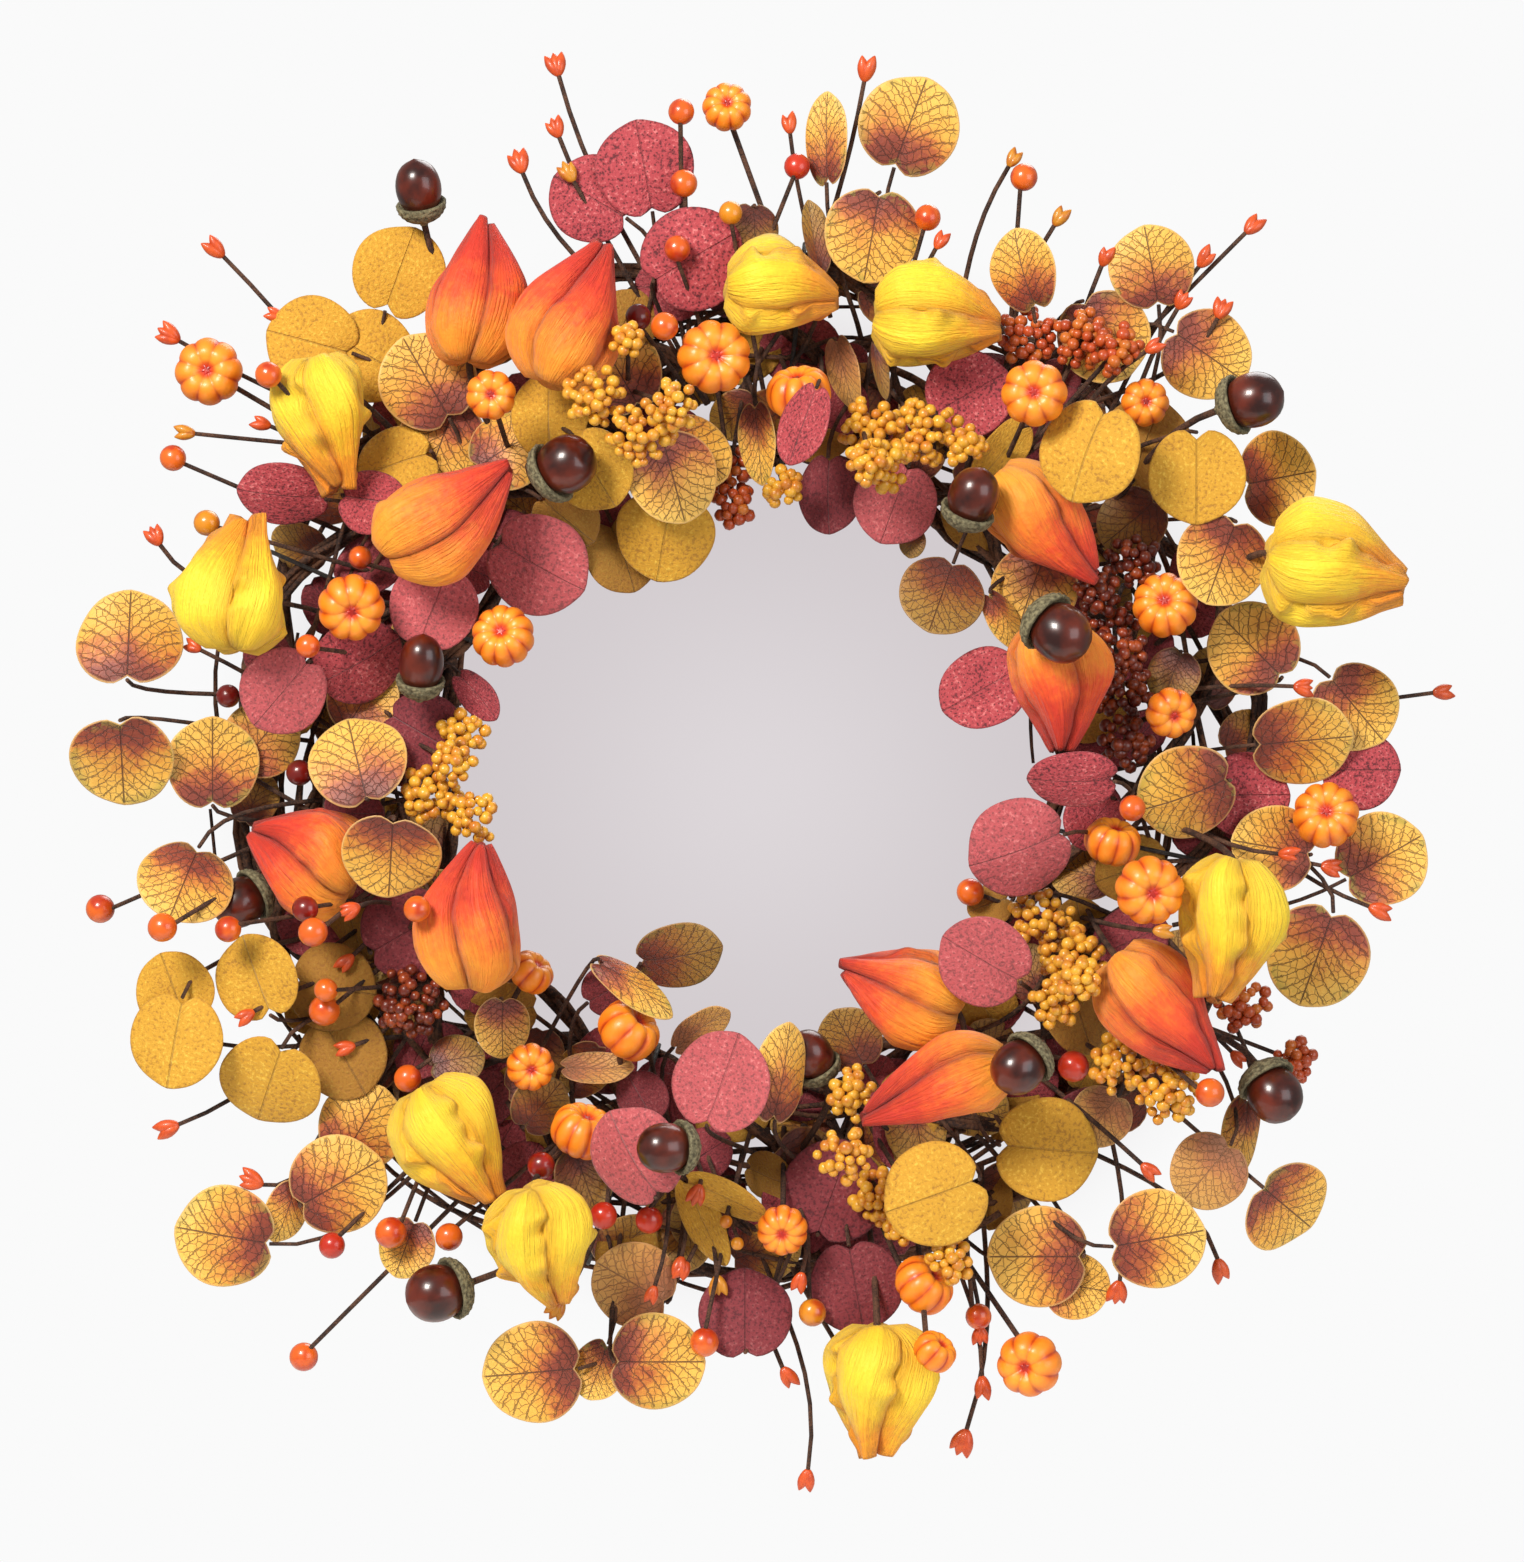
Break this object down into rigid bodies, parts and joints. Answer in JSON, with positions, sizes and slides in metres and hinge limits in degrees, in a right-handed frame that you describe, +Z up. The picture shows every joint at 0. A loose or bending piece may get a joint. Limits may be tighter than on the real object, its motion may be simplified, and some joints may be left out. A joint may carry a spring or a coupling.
{
  "type": "door wreath",
  "caption": "Round autumn door wreath: lantern pods, leaves, small pumpkins, acorns and berries wired to a ring of twisted vines.",
  "frame": {"origin": "seat of the hook, on the inside of the vine ring at its top, on the ring's mid-plane", "axes": "+Z up as the wreath hangs, -Y out of the front of the wreath and +Y towards the door, +X to the right as seen from the front"},
  "size_m": [0.5254, 0.1195, 0.5483],
  "materials": {
    "vine": "rough dark bark",
    "tie_wire": "dark annealed wire",
    "orange_lantern": "matt flocked foam, paler at the mouth and redder at the tip",
    "yellow_lantern": "matt flocked foam with an orange flush",
    "leaf_fabric": "satin printed cloth, ochre to maroon, with dark veins",
    "leaf_mustard": "matt mustard cloth with fine flecks",
    "leaf_burgundy": "matt mottled burgundy cloth",
    "leaf_underside": "matt tan underside",
    "harvest_fruit": "semi-gloss moulded pumpkin skin",
    "star_dimple": "dark red paint in the pumpkin's eye",
    "acorn_nut": "glossy mahogany",
    "acorn_cap": "rough olive-grey scales",
    "berry": "satin orange with a red blush",
    "bud": "satin red and ochre",
    "grain": "matt ochre beads",
    "wrapped_stem": "dark paper tape round wire"
  },
  "bodies": {
    "root": {"vine_1": "vine", "vine_2": "vine", "vine_3": "vine", "vine_4": "vine", "vine_5": "vine", "vine_6": "vine", "tie_wire_1": "tie_wire", "tie_wire_2": "tie_wire", "tie_wire_3": "tie_wire", "tie_wire_4": "tie_wire", "orange_lantern_01": "orange_lantern", "orange_lantern_02": "orange_lantern", "orange_lantern_03": "orange_lantern", "orange_lantern_04": "orange_lantern", "orange_lantern_05": "orange_lantern", "orange_lantern_06": "orange_lantern", "orange_lantern_07": "orange_lantern", "orange_lantern_08": "orange_lantern", "orange_lantern_09": "orange_lantern", "orange_lantern_10": "orange_lantern", "yellow_lantern_01": "yellow_lantern", "yellow_lantern_02": "yellow_lantern", "yellow_lantern_03": "yellow_lantern", "yellow_lantern_04": "yellow_lantern", "yellow_lantern_05": "yellow_lantern", "yellow_lantern_06": "yellow_lantern", "yellow_lantern_07": "yellow_lantern", "yellow_lantern_08": "yellow_lantern", "yellow_lantern_09": "yellow_lantern", "leaf_spray_01": "leaf_fabric", "leaf_spray_02": "leaf_fabric", "leaf_spray_03": "leaf_fabric", "leaf_spray_04": "leaf_fabric", "leaf_spray_05": "leaf_fabric", "leaf_spray_06": "leaf_fabric", "leaf_spray_07": "leaf_fabric", "leaf_spray_08": "leaf_fabric", "leaf_spray_09": "leaf_fabric", "leaf_spray_10": "leaf_fabric", "leaf_spray_11": "leaf_fabric", "leaf_spray_12": "leaf_fabric", "leaf_spray_13": "leaf_fabric", "leaf_spray_14": "leaf_fabric", "leaf_spray_15": "leaf_fabric", "harvest_pick_01": "harvest_fruit", "harvest_pick_02": "harvest_fruit", "harvest_pick_03": "harvest_fruit", "harvest_pick_04": "harvest_fruit", "harvest_pick_05": "harvest_fruit", "harvest_pick_06": "harvest_fruit", "harvest_pick_07": "harvest_fruit", "harvest_pick_08": "harvest_fruit", "harvest_pick_09": "harvest_fruit", "harvest_pick_10": "harvest_fruit", "harvest_pick_11": "harvest_fruit", "harvest_pick_12": "harvest_fruit", "harvest_pick_13": "harvest_fruit", "harvest_pick_14": "harvest_fruit", "harvest_pick_15": "harvest_fruit"}
  },
  "joints": []
}
